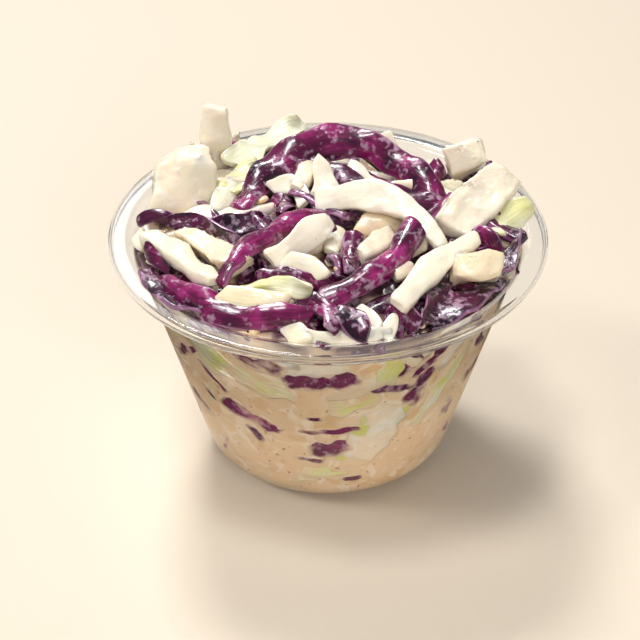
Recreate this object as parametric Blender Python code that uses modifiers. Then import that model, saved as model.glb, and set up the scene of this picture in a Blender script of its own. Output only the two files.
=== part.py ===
"""Coleslaw heaped in a clear plastic portion cup.

Two solids in metres, +Z up, origin at the middle of the cup's base: the thin cup with
its flanged and skirted rim, and the salad, which fills the cup and heaps over the rim
with its larger shreds, leaves and chunks standing out of it.
"""
import math

import bmesh
import bpy
from mathutils import Vector

MM = 0.001

# Cup, a thermoformed sheet. The radii are those of the food side of the sheet.
SHEET = 0.55 * MM
RIM_HEIGHT = 43.0 * MM
RIM_RADIUS = 37.0 * MM
FLANGE_FALL = 0.25 * MM
SKIRT_DROP = 2.1 * MM
SKIRT_BREAK = 1.2 * MM
SKIRT_LEAN = 0.5 * MM
LIP_ROUNDING = 0.8 * MM
MOUTH_RADIUS = 32.5 * MM
MOUTH_ROUNDING = 2.1 * MM
FLOOR_RADIUS = 20.0 * MM
FLOOR_ROUNDING = 6.0 * MM
STAND_RADIUS = 12.6 * MM
PUSH_UP = 0.5 * MM
PUSH_UP_RAMP = 0.8 * MM
TURN_STEPS = 60
WELD = 0.01 * MM

# Salad. Heights are above the rim.
GAP = 0.3 * MM
FILL_OVERLAP = 0.2 * MM
EDGE_LEVEL = -2.0 * MM
DOME_RISE = 6.5 * MM
DOME_SPREAD = 26.0 * MM
LUMP_DEPTH = 0.8 * MM
LUMP_PITCH = 9.0 * MM
TOP_RINGS = 11
SHRED_SIDES = 8
SHRED_SPAN = 4.0 * MM
SHRED_LEAST_SPANS = 3
SHRED_SQUARENESS = 0.6

# Mounds and hollows of the heap: x, y, reach and height in millimetres.
MOUNDS = [
    (-23.0, 9.0, 7.0, 2.2),
    (0.0, 10.0, 9.0, 2.5),
    (24.5, 3.0, 7.0, 2.2),
    (22.0, 14.0, 5.0, 1.5),
    (11.5, 23.5, 9.0, -10.0),
    (-31.0, 3.0, 5.0, -2.0),
    (-12.0, 26.0, 6.0, 1.8),
]


def shred(x, y, height, heading, length, width, thickness, bow=0.0, crown=0.0, slope=0.0, lean=40.0,
          start=0.75, end=0.75):
    """The sizes of a shred, in millimetres and degrees: where its middle stands and how high
    over the rim, the way it runs, its chord, its bow to the left, the rise of its middle over
    its ends, its rise from start to end, how far its broad face leans to the front, and the
    share of its width at its ends"""
    return {
        "middle": Vector((x, y, height)) * MM + Vector((0.0, 0.0, RIM_HEIGHT)),
        "heading": math.radians(heading),
        "length": length * MM,
        "width": width * MM,
        "thickness": thickness * MM,
        "bow": bow * MM,
        "crown": crown * MM,
        "slope": slope * MM,
        "lean": math.radians(lean),
        "start": start,
        "end": end,
    }


# The larger pieces that stand out of the heap.
SHREDS = {
    "upright_strip": shred(-19.5, 18, 5, -90, 1, 4.5, 2.4, slope=16.5, lean=80, start=0.9, end=1),
    "cream_block": shred(-24.5, 9, 4, 90, 8, 11, 6, slope=10, lean=50, start=0.9, end=0.4),
    "back_ribbon": shred(-12, 25, 1.5, 20, 26, 4, 1.5, bow=3, crown=1, lean=-35),
    "back_stick": shred(4, 16, 1.5, -20, 16, 4.5, 2.6, crown=1, lean=-35),
    "folded_leaf": shred(-10.5, 21, 4, 47, 16.5, 6, 1.6, slope=1.5, lean=35),
    "arched_ribbon": shred(1.5, 15.5, 8, 4, 35.5, 6, 1.4, bow=13, crown=6, slope=-1, lean=50),
    "back_chunk": shred(24, 15.5, 3.5, 30, 8.5, 6.5, 4.5, slope=2.5, lean=45),
    "broad_plank": shred(25, 1, 4.5, 47, 15, 8, 3.2, slope=3, lean=45, start=0.85, end=0.85),
    "rim_leaf": shred(31, -0.5, 3, 28, 7.5, 4.5, 1.8, slope=2, lean=45, end=0.5),
    "white_bow": shred(9, -2, 7.5, -23, 23.5, 5, 2.6, bow=3.2, crown=3, slope=-3, end=0.6),
    "crossed_strip": shred(-10.5, -11, 4.8, 51, 27, 4.5, 1.6, bow=1.6, crown=1.8, lean=25),
    "star_chunk": shred(-4.5, -11.5, 4.3, -133, 13.5, 5, 2, slope=-2, lean=50, start=0.5),
    "slanted_ribbon": shred(8, -18.5, 3.5, 42, 21, 5, 1.6, bow=-3, slope=5),
    "slanted_stick": shred(16.5, -18.5, 3.8, 50, 21, 4.2, 2.4, bow=1.3, slope=2.5, lean=35, end=0.6),
    "right_chunk": shred(24, -16.5, 2.3, 30, 8.5, 6, 4.5, lean=30),
    "left_stick": shred(-23.5, -13.5, 2.5, -54, 19.5, 3.8, 2.6, slope=1, lean=20),
    "left_chunk": shred(-20.5, -10.5, 2.8, -53, 14.5, 5, 3.2, crown=0.8, lean=30),
    "front_ribbon": shred(-16.5, -26, 0.7, -25, 27, 4.2, 1.5, bow=-4.5, slope=0.8, lean=45),
}


def named_collection(name):
    """A new collection in the scene"""
    collection = bpy.data.collections.new(name)
    bpy.context.scene.collection.children.link(collection)
    return collection


def add_object(name, mesh, collection):
    """An object for a mesh, in the given collection"""
    thing = bpy.data.objects.new(name, mesh)
    collection.objects.link(thing)
    return thing


def add_cutter(name, mesh, collection):
    """A helper shape for a Boolean, which is not part of the model"""
    cutter = add_object(name, mesh, collection)
    cutter.hide_render = True
    cutter.display_type = "WIRE"
    return cutter


def principled(name, color, roughness):
    """A plain material"""
    material = bpy.data.materials.new(name)
    material.use_nodes = True
    shader = material.node_tree.nodes["Principled BSDF"]
    shader.inputs["Base Color"].default_value = (*color, 1.0)
    shader.inputs["Roughness"].default_value = roughness
    shader.inputs["Metallic"].default_value = 0.0
    return material


def rounded(corners):
    """A profile through corners (radius, height, rounding, steps), each turned on an arc"""
    points = []
    last = len(corners) - 1
    for index, (radius, height, rounding, steps) in enumerate(corners):
        corner = Vector((radius, height))
        if index in (0, last) or rounding == 0.0:
            points.append(corner)
            continue
        back = (Vector(corners[index - 1][:2]) - corner).normalized()
        ahead = (Vector(corners[index + 1][:2]) - corner).normalized()
        half = back.angle(ahead) / 2
        middle = corner + (back + ahead).normalized() * rounding / math.sin(half)
        start = corner + back * rounding / math.tan(half) - middle
        end = corner + ahead * rounding / math.tan(half) - middle
        turn = start.angle_signed(end)
        for step in range(steps + 1):
            angle = -turn * step / steps
            arm = Vector((
                start.x * math.cos(angle) - start.y * math.sin(angle),
                start.x * math.sin(angle) + start.y * math.cos(angle),
            ))
            points.append(middle + arm)
    return points


def profile_mesh(name, points):
    """A mesh of edges through (radius, height) points in the XZ plane"""
    mesh = bpy.data.meshes.new(name)
    outline = bmesh.new()
    verts = [outline.verts.new((point.x, 0.0, point.y)) for point in points]
    for first, second in zip(verts, verts[1:]):
        outline.edges.new((first, second))
    outline.to_mesh(mesh)
    outline.free()
    return mesh


def turn(thing):
    """Turn a profile about the Z axis, closing it where it meets the axis"""
    screw = thing.modifiers.new("turn", "SCREW")
    screw.steps = TURN_STEPS
    screw.render_steps = TURN_STEPS
    screw.use_merge_vertices = True
    screw.merge_threshold = WELD
    screw.use_smooth_shade = True


def thicken(thing, thickness):
    """Give an open surface its thickness, on the side its faces look to"""
    solidify = thing.modifiers.new("sheet", "SOLIDIFY")
    solidify.thickness = thickness
    solidify.offset = 1.0
    solidify.use_even_offset = True


def cup_profile(grow):
    """The cup's food side from the skirt's edge over the rim to the middle of the floor,
    moved towards the food by grow"""
    lean = (MOUTH_RADIUS - FLOOR_RADIUS) / (RIM_HEIGHT - SHEET)
    inset = grow * math.hypot(1.0, lean)
    floor = SHEET + grow
    return rounded([
        (RIM_RADIUS - SKIRT_LEAN + grow, RIM_HEIGHT - SKIRT_DROP - grow, 0.0, 0),
        (RIM_RADIUS + grow, RIM_HEIGHT - SKIRT_BREAK, 0.0, 0),
        (RIM_RADIUS + grow, RIM_HEIGHT - FLANGE_FALL + grow, LIP_ROUNDING + grow, 3),
        (MOUTH_RADIUS - inset + grow * lean, RIM_HEIGHT + grow, MOUTH_ROUNDING + grow, 3),
        (FLOOR_RADIUS - inset + grow * lean, floor, FLOOR_ROUNDING - grow, 4),
        (STAND_RADIUS, floor, 0.0, 0),
        (STAND_RADIUS - PUSH_UP_RAMP, floor + PUSH_UP, 0.0, 0),
        (0.0, floor + PUSH_UP, 0.0, 0),
    ])


def add_cup(collection):
    """The clear cup"""
    cup = add_object("cup", profile_mesh("cup", cup_profile(0.0)), collection)
    cup.data.materials.append(principled("clear_plastic", (0.86, 0.88, 0.9), 0.08))
    turn(cup)
    thicken(cup, SHEET)
    return cup


def heap_level(x, y):
    """Height of the heap over the rim plane, for a place given in metres"""
    level = EDGE_LEVEL
    level += DOME_RISE * math.exp(-(x * x + y * y) / DOME_SPREAD ** 2)
    for mound_x, mound_y, reach, rise in MOUNDS:
        away = math.hypot(x - mound_x * MM, y - mound_y * MM) / (reach * MM)
        level += rise * MM * math.exp(-away * away)
    across = math.sin(x * math.tau / LUMP_PITCH)
    along = math.cos(y * math.tau / LUMP_PITCH + x / LUMP_PITCH)
    return level + LUMP_DEPTH * across * along


def add_fill(collection):
    """The salad's body: it fills the cup, and its top follows the heap's level"""
    lean = (MOUTH_RADIUS - FLOOR_RADIUS) / (RIM_HEIGHT - SHEET)
    top = RIM_HEIGHT
    edge = MOUTH_RADIUS + FILL_OVERLAP
    rings = [Vector((edge * ring / TOP_RINGS, top)) for ring in range(TOP_RINGS)]
    side = rounded([
        (0.0, top, 0.0, 0),
        (edge, top, 0.0, 0),
        (FLOOR_RADIUS + FILL_OVERLAP, SHEET, FLOOR_ROUNDING, 4),
        (0.0, SHEET, 0.0, 0),
    ])
    fill = add_object("coleslaw", profile_mesh("coleslaw", rings + side[1:]), collection)
    turn(fill)
    bpy.context.view_layer.update()
    turned = fill.evaluated_get(bpy.context.evaluated_depsgraph_get())
    mesh = bpy.data.meshes.new_from_object(turned)
    fill.modifiers.clear()
    fill.data = mesh
    for vert in mesh.vertices:
        if vert.co.z > top - WELD:
            level = heap_level(vert.co.x, vert.co.y)
            vert.co.z += level
            if math.hypot(vert.co.x, vert.co.y) > edge - WELD:
                shrink = 1.0 + level * lean / edge
                vert.co.x *= shrink
                vert.co.y *= shrink
    mesh.materials.append(principled("salad", (0.72, 0.6, 0.62), 0.45))
    return fill


def shred_path(size):
    """Places and widths along a shred: a shallow arc, whose width changes towards its ends"""
    along = Vector((math.cos(size["heading"]), math.sin(size["heading"]), 0.0))
    left = Vector((-along.y, along.x, 0.0))
    up = Vector((0.0, 0.0, 1.0))
    spans = max(SHRED_LEAST_SPANS, round(math.hypot(size["length"], size["slope"]) / SHRED_SPAN))
    path = []
    for step in range(spans + 1):
        t = 2 * step / spans - 1
        spot = size["middle"] + (along * size["length"] + up * size["slope"]) * t / 2
        spot -= (left * size["bow"] + up * size["crown"]) * t * t
        share = size["start"] if t < 0 else size["end"]
        path.append((spot, size["width"] * (1 + (share - 1) * t * t)))
    return path


def shred_mesh(name, size):
    """A closed strip along its path, with a flat rounded section"""
    path = shred_path(size)
    face = Vector((0.0, -math.sin(size["lean"]), math.cos(size["lean"])))
    shape = bmesh.new()
    rings = []
    for index, (spot, width) in enumerate(path):
        before = path[max(index - 1, 0)][0]
        after = path[min(index + 1, len(path) - 1)][0]
        across = (after - before).cross(face).normalized()
        outward = across.cross(after - before).normalized()
        ring = []
        for side in range(SHRED_SIDES):
            angle = math.tau * (side + 0.5) / SHRED_SIDES
            wide = math.copysign(abs(math.cos(angle)) ** SHRED_SQUARENESS, math.cos(angle))
            deep = math.copysign(abs(math.sin(angle)) ** SHRED_SQUARENESS, math.sin(angle))
            offset = across * wide * width / 2 + outward * deep * size["thickness"] / 2
            ring.append(shape.verts.new(spot + offset))
        rings.append(ring)
    for ring, following in zip(rings, rings[1:]):
        for side in range(SHRED_SIDES):
            after = (side + 1) % SHRED_SIDES
            shape.faces.new((ring[side], ring[after], following[after], following[side]))
    shape.faces.new(reversed(rings[0]))
    shape.faces.new(rings[-1])
    bmesh.ops.recalc_face_normals(shape, faces=shape.faces)
    mesh = bpy.data.meshes.new(name)
    shape.to_mesh(mesh)
    shape.free()
    return mesh


def boolean(thing, other, operation):
    """Join or cut a shape with another"""
    modifier = thing.modifiers.new(other.name, "BOOLEAN")
    modifier.object = other
    modifier.operation = operation
    modifier.solver = "EXACT"


def add_salad(collection, cutters):
    """The salad: its body with the larger pieces joined on, kept clear of the cup"""
    salad = add_fill(collection)
    for name, size in SHREDS.items():
        boolean(salad, add_cutter(name, shred_mesh(name, size), cutters), "UNION")
    clearance = add_cutter("cup_clearance", profile_mesh("cup_clearance", cup_profile(GAP)), cutters)
    turn(clearance)
    thicken(clearance, SHEET + 2 * GAP)
    boolean(salad, clearance, "DIFFERENCE")
    return salad


def main():
    for thing in list(bpy.data.objects):
        bpy.data.objects.remove(thing)
    collection = named_collection("coleslaw_in_cup")
    cutters = named_collection("cutters")
    add_cup(collection)
    add_salad(collection, cutters)


main()
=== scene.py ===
"""Looks for coleslaw heaped in a clear portion cup.

The cup is a thin clear lathed shell. In it stands a core of dressing, and on, in and round
the core lie shreds of red and white cabbage, chunks of the white stalk and a few pale green
leaves. Shreds are swept along paths by Geometry Nodes and pressed against the cup's wall.
"""
import math
import random

import bmesh
import bpy
from mathutils import Matrix, Vector, noise


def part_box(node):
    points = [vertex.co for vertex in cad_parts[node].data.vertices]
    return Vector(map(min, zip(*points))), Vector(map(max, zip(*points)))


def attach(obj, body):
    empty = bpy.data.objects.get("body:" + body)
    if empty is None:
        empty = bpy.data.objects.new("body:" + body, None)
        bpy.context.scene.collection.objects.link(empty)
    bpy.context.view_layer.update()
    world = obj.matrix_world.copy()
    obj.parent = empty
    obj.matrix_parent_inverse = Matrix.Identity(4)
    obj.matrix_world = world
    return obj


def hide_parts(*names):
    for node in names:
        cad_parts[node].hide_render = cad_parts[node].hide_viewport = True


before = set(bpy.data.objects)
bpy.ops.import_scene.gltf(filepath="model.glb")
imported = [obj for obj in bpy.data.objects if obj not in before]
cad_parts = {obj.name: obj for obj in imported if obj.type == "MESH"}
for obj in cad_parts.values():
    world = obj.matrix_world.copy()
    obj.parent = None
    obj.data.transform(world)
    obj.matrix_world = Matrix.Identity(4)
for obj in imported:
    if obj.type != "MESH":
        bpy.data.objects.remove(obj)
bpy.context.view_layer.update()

MM = 0.001
CUP_LOW, CUP_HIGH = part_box("cup")
RIM_HEIGHT = CUP_HIGH.z
RIM_RADIUS = (CUP_HIGH.x - CUP_LOW.x) / 2

# The cup's sheet. The radii are those of its food side.
SHEET = 0.55 * MM
FLANGE_FALL = 0.2 * MM
SKIRT_DROP = 2.1 * MM
SKIRT_BREAK = 1.2 * MM
SKIRT_LEAN = 0.5 * MM
LIP_ROUNDING = 0.8 * MM
MOUTH_RADIUS = RIM_RADIUS - 4.5 * MM
MOUTH_ROUNDING = 2.1 * MM
STACK_RING_DROP = 4.0 * MM
STACK_RING_STEP = 0.3 * MM
FLOOR_RADIUS = RIM_RADIUS - 17.0 * MM
FLOOR_ROUNDING = 6.0 * MM
STAND_RADIUS = 12.6 * MM
PUSH_UP = 0.5 * MM
PUSH_UP_RAMP = 0.8 * MM
CUP_STEPS = 192
WALL_SLOPE = (MOUTH_RADIUS - FLOOR_RADIUS) / (RIM_HEIGHT - SHEET)
FOOT_REACH = FLOOR_ROUNDING * math.tan(math.pi / 4 - math.atan(WALL_SLOPE) / 2)
FOOT_HEIGHT = FOOT_REACH * math.cos(math.atan(WALL_SLOPE))
WELD = 0.01 * MM

# The heap. Heights are over the rim and all its sizes are in millimetres.
EDGE_LEVEL = -2.0
DOME_RISE = 6.5
DOME_SPREAD = 26.0
MOUNDS = [
    (-23.0, 9.0, 7.0, 2.2),
    (0.0, 10.0, 9.0, 2.5),
    (24.5, 3.0, 7.0, 2.2),
    (22.0, 14.0, 5.0, 1.5),
    (11.5, 23.5, 9.0, -10.0),
    (-31.0, 3.0, 5.0, -2.0),
    (-12.0, 26.0, 6.0, 1.8),
    (5.0, -7.0, 7.0, -2.2),
]
CORE_SINK = 2.0
CORE_PRESS = 0.04
CORE_RINGS = 90
CORE_STEPS = 256
CORE_LUMPS = 0.9
CORE_GRAIN = 0.25

PATH_STEPS = 24
DRESSING = (0.81, 0.62, 0.41)
LOOSE_SEED = 12
WALL_SEED = 7


def shred(x, y, height, heading, length, width, thickness, bow=0.0, crown=0.0, slope=0.0,
          lean=40.0, towards=-90.0, twist=0.0, start=0.75, end=0.75, film=0.0, stain=0.0):
    """The sizes of a shred: where its middle stands and how high over the rim, the way it
    runs, its chord, its bow to the left, the rise of its middle over its ends, its rise from
    start to end, how far its broad face leans and towards which side, its twist, the share
    of its width at its ends, how much dressing it carries, and its stain value: a
    peach dressing tint on white pieces, a deeper yellow-green on green ones, and on red ones
    a darkening toward black that is partly painted shade"""
    return dict(
        x=x, y=y, height=height, heading=heading, length=length, width=width,
        thickness=thickness, bow=bow, crown=crown, slope=slope, lean=lean, towards=towards,
        twist=twist, start=start, end=end, film=film, stain=stain,
    )


RED = {
    "arched_ribbon": shred(1.5, 15.5, 8, 4, 35.5, 6.5, 1.1, bow=13, crown=6, slope=-1, lean=50,
                           twist=10, start=0.7, end=0.7),
    "square_piece": shred(18, 13, 2, 45, 5, 4.2, 1, slope=2, lean=50, start=0.9, end=1),
    "back_tip": shred(11, 21, 1, 30, 3, 2.5, 0.8, slope=1.5, lean=55),
    "crossed_strip": shred(-10.8, -10.2, 4.9, 49, 27, 4.5, 1.1, bow=2.9, crown=1.8, lean=30,
                           twist=25, start=0.45, end=0.7),
    "under_strip": shred(-6, -18.7, 2.5, -16, 12, 3.2, 1, crown=0.5, lean=55),
    "inner_curl": shred(4, -3, 3, -10, 7, 3, 0.8, lean=55, stain=0.8),
    "left_fold": shred(-14.5, -2.5, 2.5, 20, 9, 4, 1, lean=55, stain=0.5),
    "standing_stub": shred(4.2, -14.2, 4, -95, 9, 3.6, 1.6, slope=-2, lean=55, film=0.4),
    "slanted_ribbon": shred(8, -18.5, 3.8, 42, 22, 5, 1.1, bow=-3, slope=5, start=0.8, end=0.7),
    "short_edge": shred(15.5, -6.5, 4, -90, 3.5, 1.8, 1),
    "right_curl": shred(25.7, -7.5, 3, -60, 5, 3.5, 0.8, crown=1.5, lean=65),
    "far_right_leaf": shred(29, -11.2, 1.7, -114, 10, 4.6, 0.8, slope=-3, lean=60, towards=-160,
                            stain=1, film=0.3),
    "front_right_leaf": shred(22, -22, 0.4, -132, 17, 6.2, 0.8, bow=1, lean=40, towards=-115,
                              stain=0.9, film=0.6),
    "dark_fold": shred(17, -23.5, 1.5, -108, 13, 3.6, 0.8, lean=55, stain=0.6),
    "front_fold": shred(12.2, -27.4, 0.8, -60, 6, 4.4, 0.8, slope=-1.5, lean=55, stain=0.2),
    "left_curl": shred(-28.7, -0.4, 2.5, -10, 6.5, 3, 0.8, crown=1.5, lean=55, stain=0.7),
    "left_strip": shred(-19.8, -4.8, 2.8, -35, 14, 3.2, 1, bow=1.2, crown=0.8, lean=50,
                        stain=0.3),
    "left_leaf": shred(-28, -11, 1, -50, 7, 3, 0.8, lean=50),
    "left_dark_leaf": shred(-25.5, -19.5, -0.2, -51, 16, 5, 0.9, bow=-1, lean=35, towards=-30,
                            stain=0.8),
    "front_ribbon": shred(-16.5, -26, 1.2, -25, 27, 4.4, 1.1, bow=-4.5, slope=0.8, lean=50,
                          start=0.55, end=0.7),
    "front_hook": shred(0, -28, 2, -70, 7, 3, 1, bow=1.5, slope=-1.5, lean=55, film=0.5),
    "front_stub": shred(3.6, -29.8, 1, -45, 6.5, 4, 1.4, slope=-1.5, lean=50),
    "back_ribbon": shred(-12, 25, 2, 20, 26, 4.2, 1.2, bow=3, crown=1, lean=-35, twist=15),
    "back_right_strip": shred(25, 19, 0.5, -55, 11, 3.6, 1.2, bow=1, lean=-30, towards=-130),
    "back_cross": shred(-2, 24, 1.5, -30, 16, 3.8, 1.2, crown=1.2, lean=-20),
}

WHITE = {
    "upright_strip": shred(-19.5, 18, 5.2, -90, 1, 4.7, 2.2, slope=16.8, lean=80, start=0.95,
                           end=1.1),
    "white_bow": shred(10, -3.2, 7.4, -30, 24, 4.6, 1.7, bow=3.6, crown=3, slope=-1.5, lean=35,
                       twist=-15, start=1.2, end=0.4),
    "bow_hook": shred(-5.8, 4.3, 5.2, -45, 8, 3.3, 1.6, bow=1.8, crown=0.8, lean=50, start=0.6),
    "left_star": shred(-0.8, 6, 7, 100, 6, 3.9, 1.5, slope=4.5, lean=60, start=1.6, end=0.05),
    "right_star": shred(5.2, 8.5, 5.5, 118, 5, 3.4, 1.4, slope=3, lean=60, start=1.6, end=0.1),
    "leaf_foot": shred(-17.5, 4.5, 3, -117, 8, 3.6, 2.4, slope=-1, lean=55, start=0.8, end=0.4),
    "star_arm": shred(-4.5, -11.5, 4.6, -133, 13.5, 4.8, 1.5, slope=-2, lean=50, start=0.45,
                      end=1.1, film=0.3),
    "star_point": shred(-3.8, -18, 3.6, -25, 8.5, 4.8, 1.4, lean=50, start=1.1, end=0.2),
    "slanted_stick": shred(16.5, -18.5, 4, 50, 21, 4.3, 2.2, bow=1.3, slope=2.5, lean=35,
                           start=0.8, end=0.55),
    "left_stick": shred(-23.5, -13.5, 2.7, -54, 19.5, 3.9, 2.4, slope=1, lean=25, towards=-45,
                        start=1, end=0.8),
    "wall_bit": shred(-31, -5, 0.3, -60, 4, 2.8, 1.6, lean=50),
    "front_curl": shred(3, -31.3, -0.6, 2, 14, 2.8, 1.5, bow=-1, crown=-0.6, lean=50, start=0.8,
                        end=0.4),
    "front_tip": shred(9.5, -29.5, 0.3, 60, 4.5, 3, 1.2, slope=1.5, lean=50, start=1, end=0.3),
    "front_knob": shred(-5.3, -30.3, -0.3, -57, 5.5, 3.5, 1.6, slope=-1, lean=50, stain=0.3),
    "clear_film": shred(5.7, -28.2, 0.3, -60, 6.5, 4.2, 0.8, lean=50, film=0.8, start=0.8),
    "inner_bit": shred(1, -7.6, 2.4, -95, 7, 3.4, 1.8, lean=50),
    "ribbon_bit": shred(14.2, -12, 3.4, 35, 4.5, 3, 2, lean=50, stain=0.3),
    "ribbon_crumb": shred(12, -17.5, 2.4, 40, 4, 3, 2, lean=50, stain=0.4),
    "cream_crescent": shred(-12, -25.3, 2.4, -12, 11, 3.5, 1.8, bow=-0.6, lean=45, stain=0.5),
    "cream_under": shred(9, -4, 3, 5, 9, 4.5, 3, lean=30, stain=0.7),
    "back_film": shred(9.3, 24, 2, 15, 5.5, 4.5, 0.8, slope=2, lean=60),
    "back_stick": shred(4, 16, 1.8, -20, 16, 4.5, 2.2, crown=1, lean=-35),
    "back_slab": shred(-5, 28, 1, 8, 12, 4.4, 1.8, bow=1, lean=-50),
    "far_back_stick": shred(-22.5, 20.5, 1, 45, 12, 4, 2.2, bow=1, lean=-40, towards=-50),
}

GREEN = {
    "folded_leaf": shred(-10.5, 21, 4.3, 47, 17, 6.5, 1.1, slope=1.5, lean=35, twist=20,
                         start=0.7, end=0.5),
    "leaf_curl": shred(-15.5, 9.5, 4.3, -128, 9.5, 4.8, 1.6, bow=-1, slope=-1, lean=50,
                       stain=0.6),
    "rim_leaf": shred(30.6, -0.8, 3, 40, 9, 5, 0.8, slope=2, lean=45, twist=25, end=0.6,
                      stain=0.8),
    "yellow_leaf": shred(-8.5, -22, 3.2, -8, 12, 3, 0.7, crown=0.4, twist=35, stain=0.7),
    "back_leaf": shred(15, 16.5, 0.8, 25, 8, 4.2, 1, lean=-30, twist=20),
}

# Chunks of the stalk: their sizes, how even their corners are, and a seed.
CHUNKS = {
    "cream_block": (shred(-24.3, 9, 3.6, 76, 8.5, 10.5, 7.5, bow=1, slope=10, lean=48, start=1.15,
                          end=0.4, stain=0.3), 0.85, 3),
    "cream_peak": (shred(-21.3, 8.2, 4.2, 110, 5, 4.6, 5, slope=8, lean=48, start=1.5, end=0.3,
                         stain=0.2), 0.8, 27),
    "back_chunk": (shred(23.2, 15.5, 3.5, 20, 6.5, 6.5, 5.5, slope=2, lean=45, start=1,
                         end=0.8, stain=0.1), 0.6, 8),
    "back_bit": (shred(20.6, 9, 2, 10, 5, 3.5, 3, stain=0.2), 0.5, 11),
    "broad_plank": (shred(25, 1, 4.4, 47, 15, 8.8, 3.2, slope=3.5, lean=42, start=0.75, end=0.8,
                          stain=0.1), 0.8, 5),
    "right_chunk": (shred(23.5, -16.7, 2.8, 10, 8, 7, 5.8, lean=35, start=0.85, end=0.75,
                          stain=0.6), 0.6, 14),
    "left_chunk": (shred(-19.8, -11.5, 3, -50, 14, 5.6, 3.6, lean=30, start=0.5, end=0.8,
                         stain=0.6), 0.75, 17),
    "middle_chunk": (shred(8.3, -10.7, 3.2, 50, 9, 5.5, 4, lean=35, stain=0.35), 0.6, 21),
    "far_chunk": (shred(-19, 25, 1.5, 60, 8, 5, 4.5, lean=-30, stain=0.15), 0.6, 24),
}
CHUNK_STATIONS = 4

# Pieces that show through the wall: kind, bearing, height, length, width, slant from level,
# how far dressing veils it, and stain, which on red pieces is partly painted shade.
WALL_PIECES = [
    ("red", -92, -10.5, 13, 5.2, 4, 0.3, 0.0),
    ("white", -95, -7.5, 12, 3.6, 6, 0.3, 0.2),
    ("white", -80, -12.5, 12, 4.2, 20, 0.75, 0.4),
    ("green", -71, -9.5, 7, 4.2, 80, 0.1, 0.9),
    ("red", -70, -13.5, 9, 2.6, -14, 0.3, 0.9),
    ("red", -63, -8.5, 9, 4.4, 50, 0.6, 0.3),
    ("white", -60, -6.5, 7, 4.6, 35, 0.5, 0.3),
    ("red", -53, -7.5, 14, 2.6, 52, 0.3, 0.1),
    ("red", -55, -12.5, 9, 3.2, 48, 0.3, 0.8),
    ("white", -48, -9.5, 8, 4.0, 50, 0.6, 0.2),
    ("red", -59, -17.0, 5, 4.2, 60, 0.2, 0.1),
    ("white", -72, -24.6, 14, 7.6, 68, 0.1, 0.5),
    ("green", -80, -25.0, 13, 2.4, 68, 0.1, 1.3),
    ("green", -65, -24.6, 12, 2.2, 68, 0.2, 1.3),
    ("green", -81, -16.5, 9, 4.2, 15, 0.6, 1.0),
    ("green", -47, -18.0, 18, 3.4, 62, 0.5, 0.6),
    ("red", -120, -22.4, 12.5, 4.2, -18, 0.45, 0.3),
    ("red", -119, -26.5, 5, 2.2, -60, 0.2, 0.2),
    ("red", -95, -20.0, 3, 1.1, 5, 0.3, 0.4),
    ("red", -89, -23.3, 10.5, 1.4, 5, 0.3, 0.5),
    ("red", -89, -27.6, 8, 4.8, 10, 0.35, 0.2),
    ("red", -97, -31.0, 6, 1.4, -5, 0.3, 0.5),
    ("green", -91, -34.2, 8, 3.6, 0, 0.45, 0.8),
    ("green", -100, -36.2, 5, 2.6, 10, 0.6, 0.7),
    ("red", -79, -36.3, 3.5, 1.3, 8, 0.2, 0.5),
    ("green", -134, -9.5, 12, 5.4, -60, 0.4, 1.0),
    ("red", -114, -7.5, 12, 3.8, -12, 0.5, 0.5),
    ("white", -107, -6.5, 9, 3.0, -10, 0.45, 0.2),
    ("green", -112, -13.0, 12, 5.4, -20, 0.7, 1.0),
    ("red", -133, -16.0, 7, 1.4, -50, 0.3, 0.5),
    ("red", -138, -21.0, 4, 1.4, -50, 0.3, 0.5),
]
WALL_LOOSE = 74
LOOSE_RINGS = ((3, 5), (10, 12), (17, 20), (23.5, 28), (28.5, 34))

# A spot beside the cream block where no loose shred lies: its place and reach.
BARE_SPOT = (-29.0, 9.0, 5.0)


def heap_level(x, y):
    """Height of the heap over the rim, in millimetres"""
    level = EDGE_LEVEL + DOME_RISE * math.exp(-(x * x + y * y) / DOME_SPREAD ** 2)
    for mound_x, mound_y, reach, rise in MOUNDS:
        level += rise * math.exp(-(math.hypot(x - mound_x, y - mound_y) / reach) ** 2)
    return level


def wall_radius(height):
    """Food-side radius of the wall at a height over the rim, in millimetres"""
    return MOUTH_RADIUS / MM + WALL_SLOPE * height


def spot(x, y, height):
    """A place in the scene for one given in the heap's millimetres"""
    return Vector((x * MM, y * MM, RIM_HEIGHT + height * MM))


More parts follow.
